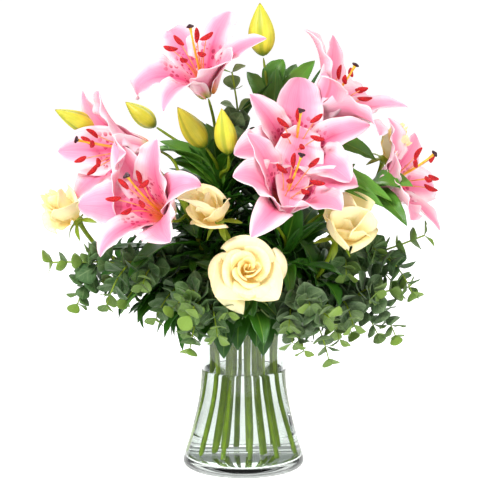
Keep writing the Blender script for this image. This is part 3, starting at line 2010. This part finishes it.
class Sprig:
    """A eucalyptus sprig: a main stem and side twigs, all with paired round leaves."""

    STEPS = 90
    LOWEST = 199 * MM
    PAIRS, LEAF = 12, 30 * MM
    TWIGS, TWIG_PAIRS, TWIG_LEAF = 10, 5, 26 * MM

    def __init__(self, cad: CadReader, name: str, palette: Palette, grey: bool) -> None:
        """Follows the CAD sprig.

        Args:
            cad: The reader.
            name: Its CAD node.
            palette: The finishes.
            grey: Whether its leaves are the greyer kind.
        """
        self.name = name
        self.palette = palette
        self.grey = grey
        self.path = smooth_path(cad.trace(name), self.STEPS)
        self.random = random.Random(f"{SEED}{name}")

    def build(self) -> list[bpy.types.Object]:
        """Builds the sprig.

        Returns:
            One object in a list.
        """
        kit = MeshKit()
        kit.tube(self.path, lambda t: (2.3 - 1.5 * t) * MM, 10, slot=0)
        start = next(i for i, p in enumerate(self.path) if p.z > self.LOWEST)
        self.leaves(kit, self.path, start, self.PAIRS, self.LEAF)
        for number, spot in enumerate(np.linspace(start, 0.86 * self.STEPS, self.TWIGS)):
            self.twig(kit, int(spot), number)
        leaf = self.palette.coin_grey if self.grey else self.palette.coin
        thing = kit.build(f"{self.name}_sprig", [self.palette.stem, leaf], 0.4 * MM)
        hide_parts(self.name)
        return [thing]

    def twig(self, kit: MeshKit, spot: int, number: int) -> None:
        """Adds a side twig that bends down at its end.

        Args:
            kit: The mesh to add to.
            spot: Where on the sprig it starts.
            number: Its number.
        """
        ahead = (self.path[spot + 1] - self.path[spot - 1]).normalized()
        out = Axes(self.path[spot], ahead).out(150 * number + self.random.uniform(-30, 30))
        reach = self.random.uniform(52, 72) * MM * (1.15 - 0.6 * spot / self.STEPS)
        bend = self.path[spot] + (ahead * 0.45 + out * 0.4) * reach
        end = bend + (ahead * 0.3 + out * 0.35 - UP * 0.6) * reach
        path = bezier(self.path[spot], bend, end, 24)
        kit.tube(path, lambda t: (1.1 - 0.6 * t) * MM, 6, slot=0)
        self.leaves(kit, path, 4, self.TWIG_PAIRS, self.TWIG_LEAF)

    def leaves(self, kit: MeshKit, path: list[Vector], start: int, pairs: int, size: float) -> None:
        """Adds pairs of facing leaves.

        Args:
            kit: The mesh to add to.
            path: The twig's points.
            start: The point where the lowest pair is.
            pairs: Number of pairs.
            size: Length of the largest leaf.
        """
        last = len(path) - 1
        vary = self.random.uniform
        for number, spot in enumerate(np.linspace(start, last, pairs + 1)):
            share = number / pairs
            here = int(round(spot))
            ahead = (path[min(last, here + 1)] - path[here - 1]).normalized()
            stem = Axes(path[here], ahead)
            for twin in range(2):
                turn = 90 * (number % 2) + 20 * number + 180 * twin + vary(-16, 16)
                out = stem.out(turn)
                long = size * (1 - 0.42 * share) * vary(0.85, 1.1)
                form = BladeShape(
                    length=long, width=long * vary(0.96, 1.1), lean=vary(44, 70), flare=vary(-14, 26),
                    cup=0.12, peak=0.52, ruffle=0.35 * MM, waves=1.5, groove=0.25 * MM, point=0.2,
                )
                blade = Blade(path[here] + out * 1.0 * MM, out, ahead, form, number + twin)
                kit.grid(9, 6, blade.point, slot=1, tone=0.15 + 0.6 * share + vary(0, 0.25))


class Stems:
    """The CAD stems, softened and dressed."""

    def __init__(self, cad: CadReader, palette: Palette) -> None:
        """Keeps the reader and the finishes.

        Args:
            cad: The reader.
            palette: The finishes.
        """
        self.cad = cad
        self.palette = palette

    def build(self) -> list[bpy.types.Object]:
        """Dresses the stems of lilies and roses.

        Returns:
            The dressed nodes.
        """
        names = self.cad.names("lily_stem_") + self.cad.names("rose_", "_stem")
        dressed = []
        for name in names:
            node = self.cad.nodes[name]
            node.data.materials.clear()
            node.data.materials.append(self.palette.stem)
            node.data.polygons.foreach_set("use_smooth", np.ones(len(node.data.polygons), dtype=bool))
            weld = node.modifiers.new("weld", "WELD")
            weld.merge_threshold = 0.02 * MM
            curve = node.modifiers.new("round", "SUBSURF")
            curve.levels = curve.render_levels = 2
            dressed.append(node)
        return dressed


# ---- vase and water
class Vessel:
    """The waisted glass vase and the water in it."""

    TURNS = 144
    HEEL, FOOT, LIP, WALL, CORNER = 7 * MM, 0.004, 0.0024, 3.4 * MM, 6 * MM
    INTO, EDGE = 0.2 * MM, 1.2 * MM  # how far the water goes into the glass, and how high its edge rises

    def __init__(self, cad: CadReader, palette: Palette) -> None:
        """Reads the walls.

        Args:
            cad: The reader.
            palette: The finishes.
        """
        self.palette = palette
        self.height = float(cad.points("vase")[:, 2].max())
        levels = np.linspace(self.HEEL, self.height - 3 * MM, 60)
        rings = [cad.section("vase", np.array([0, 0, z]), np.array([0.0, 0.0, 1.0])) for z in levels]
        self.curve = np.polyfit(levels, [np.hypot(ring[:, 0], ring[:, 1]).max() for ring in rings], 7)
        water = cad.points("water")
        self.floor = float(water[:, 2].min())
        self.water_top = float(water[:, 2].max())

    def outside(self, z: float) -> float:
        """Gives the outer radius at a height.

        Args:
            z: The height.

        Returns:
            The radius.
        """
        wall = float(np.polyval(self.curve, max(z, self.HEEL)))
        round_off = 1 - math.sqrt(max(0.0, 1 - (max(0.0, self.HEEL - z) / self.HEEL) ** 2))
        return wall - self.HEEL * 0.8 * round_off

    def lathe(
        self, name: str, profile: Sequence[tuple[float, float]], material: bpy.types.Material
    ) -> bpy.types.Object:
        """Turns a profile round the vase's axis.

        Args:
            name: The object's name.
            profile: Pairs of (radius, height).
            material: Its finish.

        Returns:
            The object.
        """
        kit = MeshKit()
        last = len(profile) - 1

        def point(along: float, around: float) -> Vector:
            """Gives a point of the turned wall.

            Args:
                along: Share of the way along the profile.
                around: Share of a turn round the axis.

            Returns:
                The point.
            """
            radius, height = profile[round(along * last)]
            angle = math.tau * around
            return Vector((radius * math.cos(angle), radius * math.sin(angle), height))

        kit.grid(last, self.TURNS, point, ring=True)
        return kit.build(name, [material])

    def corner(self, low: float, floor: float, eighths: Sequence[int]) -> list[tuple[float, float]]:
        """Lists the rounded corner between the wall and the floor inside.

        Args:
            low: Radius of the wall above the corner.
            floor: Height of the floor.
            eighths: The eighths of the corner, in order, counted from the wall.

        Returns:
            Pairs of (radius, height).
        """
        bend = self.CORNER
        angles = [math.pi / 2 * i / 8 for i in eighths]
        return [(low - bend + bend * math.cos(a), floor + bend - bend * math.sin(a)) for a in angles]

    def wall_profile(self) -> list[tuple[float, float]]:
        """Lists the glass's profile, from under the foot over the lip to the floor inside.

        Returns:
            Pairs of (radius, height).
        """
        foot = self.outside(0)
        steps = np.linspace(self.FOOT, self.height - self.LIP, 64)
        profile = [(0.0, 1 * MM), (foot - 12 * MM, 1 * MM), (foot - 6 * MM, 0.0), (foot, 0.0)]
        profile += [(self.outside(z), z) for z in (0.2 * MM, 0.6 * MM, 1.2 * MM, 2 * MM, 3 * MM)]
        profile += [(self.outside(z), z) for z in steps]
        middle = self.outside(self.height - self.LIP) - self.WALL / 2
        for i in range(1, 8):
            angle = math.pi * i / 8
            height = self.height - self.LIP + self.LIP * math.sin(angle)
            profile.append((middle + self.WALL / 2 * math.cos(angle), height))
        floor = self.floor
        profile += [(self.outside(z) - self.WALL, z) for z in reversed(steps) if z > floor + self.CORNER]
        profile += self.corner(self.outside(floor + self.CORNER) - self.WALL, floor, range(1, 9))
        profile.append((0.0, floor))
        return profile

    def water_profile(self) -> list[tuple[float, float]]:
        """Lists the water's profile, a little into the glass, with a raised edge.

        Returns:
            Pairs of (radius, height).
        """
        floor = self.floor - self.INTO
        low = self.outside(floor + self.CORNER) - self.WALL + self.INTO
        profile = [(0.0, floor), *self.corner(low, floor, range(8, 0, -1))]
        steps = np.linspace(floor + self.CORNER, self.water_top + self.EDGE, 40)
        profile += [(self.outside(z) - self.WALL + self.INTO, z) for z in steps]
        edge = self.outside(self.water_top) - self.WALL
        for share in (0.3, 0.9, 2.0, 3.6, 6.0):
            profile.append((edge - share * MM, self.water_top + self.EDGE * math.exp(-share * 0.9)))
        profile.append((0.0, self.water_top))
        return profile

    def build(self) -> list[bpy.types.Object]:
        """Builds the glass and the water.

        Returns:
            Both objects.
        """
        glass = self.lathe("vase_glass", self.wall_profile(), self.palette.glass)
        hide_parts("vase")
        water = self.lathe("vase_water", self.water_profile(), self.palette.water)
        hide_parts("water")
        return [glass, water]


# ---- the studio
class Studio:
    """A pale table, a soft light and the camera."""

    TABLE_HALF = 16.0
    TABLE_GLOW, TABLE_SEEN = 0.36, 0.26  # light of the table to everything, and more to the camera
    CARD_SIDE = 0.33
    DAYLIGHT, KEY, FILL, BACK = 0.48, 46, 18, 20  # the world's strength, and the lamps in watts
    LENS, SENSOR = 164.7, 36
    EYE = Vector((-0.0042, -2.568, 0.6747))
    AIM = Vector((-0.0042, 0.0, 0.2722))

    def build(self) -> None:
        """Builds all of it."""
        self.table()
        self.card("card_left", -self.CARD_SIDE)
        self.card("card_right", self.CARD_SIDE)
        self.lights()
        self.camera()

    def sheet(
        self, name: str, corners: Sequence[tuple[float, float, float]], grey: float, roughness: float
    ) -> bpy.types.Object:
        """Builds a flat four-sided sheet.

        Args:
            name: Its name.
            corners: Its four corners, in order.
            grey: How pale it is, from 0 to 1.
            roughness: How matt it is.

        Returns:
            The sheet.
        """
        mesh = bpy.data.meshes.new(name)
        mesh.from_pydata(corners, [], [(0, 1, 2, 3)])
        material = bpy.data.materials.new(name)
        material.use_nodes = True
        shader = material.node_tree.nodes["Principled BSDF"]
        shader.inputs["Base Color"].default_value = (grey, grey, grey, 1)
        shader.inputs["Roughness"].default_value = roughness
        mesh.materials.append(material)
        sheet = bpy.data.objects.new(name, mesh)
        bpy.context.scene.collection.objects.link(sheet)
        return sheet

    def table(self) -> None:
        """Builds a wide pale floor."""
        half = self.TABLE_HALF
        corners = [(-half, -half, 0), (half, -half, 0), (half, half, 0), (-half, half, 0)]
        floor = self.sheet("table", corners, 0.9, 0.6)
        graph = Graph(floor.data.materials[0].node_tree)
        shader = graph.tree.nodes["Principled BSDF"]
        shader.inputs["Emission Color"].default_value = (1, 1, 1, 1)
        seen = graph.add("ShaderNodeLightPath").outputs["Is Camera Ray"]
        more = graph.times(seen, self.TABLE_SEEN)
        graph.feed(shader.inputs["Emission Strength"], graph.plus(self.TABLE_GLOW, more))

    def card(self, name: str, x: float) -> None:
        """Builds a grey card beside the vase, out of view, that the edges of the glass pick up.

        Args:
            name: Its name.
            x: How far to the side it stands.
        """
        corners = [(x, -0.5, 0), (x * 1.6, 0.9, 0), (x * 1.6, 0.9, 0.4), (x, -0.5, 0.4)]
        sheet = self.sheet(name, corners, 0.1, 0.9)
        sheet.visible_camera = False
        sheet.visible_shadow = False
        sheet.visible_diffuse = False

    def lamp(self, name: str, place: Vector, size: float, power: float, aim: Vector) -> None:
        """Adds one soft lamp.

        Args:
            name: Its name.
            place: Where it is.
            size: Its width.
            power: Its power in watts.
            aim: What it points at.
        """
        data = bpy.data.lights.new(name, "AREA")
        data.size = size
        data.energy = power
        light = bpy.data.objects.new(name, data)
        light.location = place
        light.rotation_euler = (aim - place).to_track_quat("-Z", "Y").to_euler()
        bpy.context.scene.collection.objects.link(light)

    def lights(self) -> None:
        """Sets the world and the lamps."""
        world = bpy.data.worlds.new("studio")
        bpy.context.scene.world = world
        world.use_nodes = True
        graph = Graph(world.node_tree)
        light = world.node_tree.nodes["Background"]
        light.inputs["Color"].default_value = (1, 1, 1, 1)
        light.inputs["Strength"].default_value = self.DAYLIGHT
        backdrop = graph.add("ShaderNodeBackground")
        backdrop.inputs["Color"].default_value = (1, 1, 1, 1)
        path = graph.add("ShaderNodeLightPath")
        blend = graph.add("ShaderNodeMixShader")
        graph.feed(blend.inputs[0], path.outputs["Is Camera Ray"])
        graph.feed(blend.inputs[1], light.outputs[0])
        graph.feed(blend.inputs[2], backdrop.outputs[0])
        graph.feed(world.node_tree.nodes["World Output"].inputs["Surface"], blend.outputs[0])
        middle = Vector((0, 0, 0.3))
        self.lamp("key", Vector((-1.1, -1.5, 1.7)), 0.7, self.KEY, middle)
        self.lamp("fill", Vector((1.6, -1.3, 0.9)), 1.3, self.FILL, middle)
        self.lamp("back", Vector((0.4, 1.2, 1.6)), 1.4, self.BACK, middle)

    def camera(self) -> None:
        """Sets the camera at eye height in front."""
        data = bpy.data.cameras.new("camera")
        data.lens = self.LENS
        data.sensor_width = self.SENSOR
        data.clip_end = 20
        camera = bpy.data.objects.new("camera", data)
        camera.location = self.EYE
        camera.rotation_euler = (self.AIM - self.EYE).to_track_quat("-Z", "Y").to_euler()
        scene = bpy.context.scene
        scene.collection.objects.link(camera)
        scene.camera = camera
        scene.view_settings.view_transform = "Standard"


# ---- the bouquet
def lily_shapes() -> list[LilyShape]:
    """Lists the seven open lilies.

    Returns:
        Their forms.
    """
    t = Tepal
    return [
        LilyShape("lily_top_left", 105, (
            t(22, 73), t(81, 77, 10, 3.2), t(134, 90, 20, 2.4),
            t(212, 73, 110, 2.6), t(264, 61, 60), t(335, 45, 0, 2.2),
        )),
        LilyShape("lily_top_right", 118, (
            t(46, 44), t(99, 44, 40), t(158, 62, 40),
            t(220, 66, 30, 2.6), t(296, 26, 20), t(343, 72, 0, 2.4),
        ), gold=True),
        LilyShape("lily_left", 108, (
            t(5, 58, 30), t(66, 56, 0, 2.4), t(132, 68, 10),
            t(185, 35), t(232, 45, 20), t(303, 62, 30, 2.6),
        )),
        LilyShape("lily_front_left", 106, (
            t(22, 42, 120), t(72, 30, 20, 2.6), t(132, 56),
            t(194, 59, 10, 3.0), t(254, 42, 60), t(326, 70, 0, 3.2),
        )),
        LilyShape("lily_back_centre", 104, (
            t(9, 72), t(82, 78, 10, 2.6), t(142, 42),
            t(198, 60, 20, 2.6), t(258, 100), t(310, 62, 20, 2.8),
        )),
        LilyShape("lily_front_centre", 108, (
            t(355, 40, 95), t(63, 84, 10, 3.2), t(134, 42, 10),
            t(176, 50, 30, 2.8), t(220, 74, 60), t(292, 24, 30, 3.2),
        )),
        LilyShape("lily_right", 92, (
            t(39, 60, 20), t(95, 62, 20, 2.6), t(155, 50),
            t(221, 60, 20, 2.6), t(280, 60, 10), t(342, 78, 0, 2.4),
        )),
    ]


def rose_shapes() -> list[RoseShape]:
    """Lists the five roses.

    Returns:
        Their forms.
    """
    return [
        RoseShape("rose_front", 14, 1.0, (222, 312)),
        RoseShape("rose_inner_left", 13, 0.6, (240,), 16),
        RoseShape("rose_right", 13, 0.6, (205, 275, 340), 12),
        RoseShape("rose_far_left", 12, 0.6),
        RoseShape("rose_upper_right", 12, 0.5),
    ]


def main() -> None:
    """Builds the bouquet in order and logs each piece."""
    logging.basicConfig(level=logging.INFO, format="%(name)s %(message)s")
    for thing in list(bpy.data.objects):
        bpy.data.objects.remove(thing)
    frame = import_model()
    cad = CadReader(frame)
    palette = Palette()
    parts: list = [Vessel(cad, palette), Stems(cad, palette)]
    parts += [Lily(cad, shape, palette, i * 1.3) for i, shape in enumerate(lily_shapes())]
    parts += [Bud(cad, name, palette) for name in cad.names("bud_")]
    parts += [Rose(cad, shape, palette, i * 0.9) for i, shape in enumerate(rose_shapes())]
    sprigs = cad.names("eucalyptus_")
    parts += [Sprig(cad, name, palette, grey=i % 2 == 1) for i, name in enumerate(sprigs)]
    parts.append(Foliage(cad, palette))
    for part in parts:
        for piece in part.build():
            LOG.info("%s: %d faces", piece.name, len(piece.data.polygons))
    Studio().build()


if __name__ == "__main__":
    main()
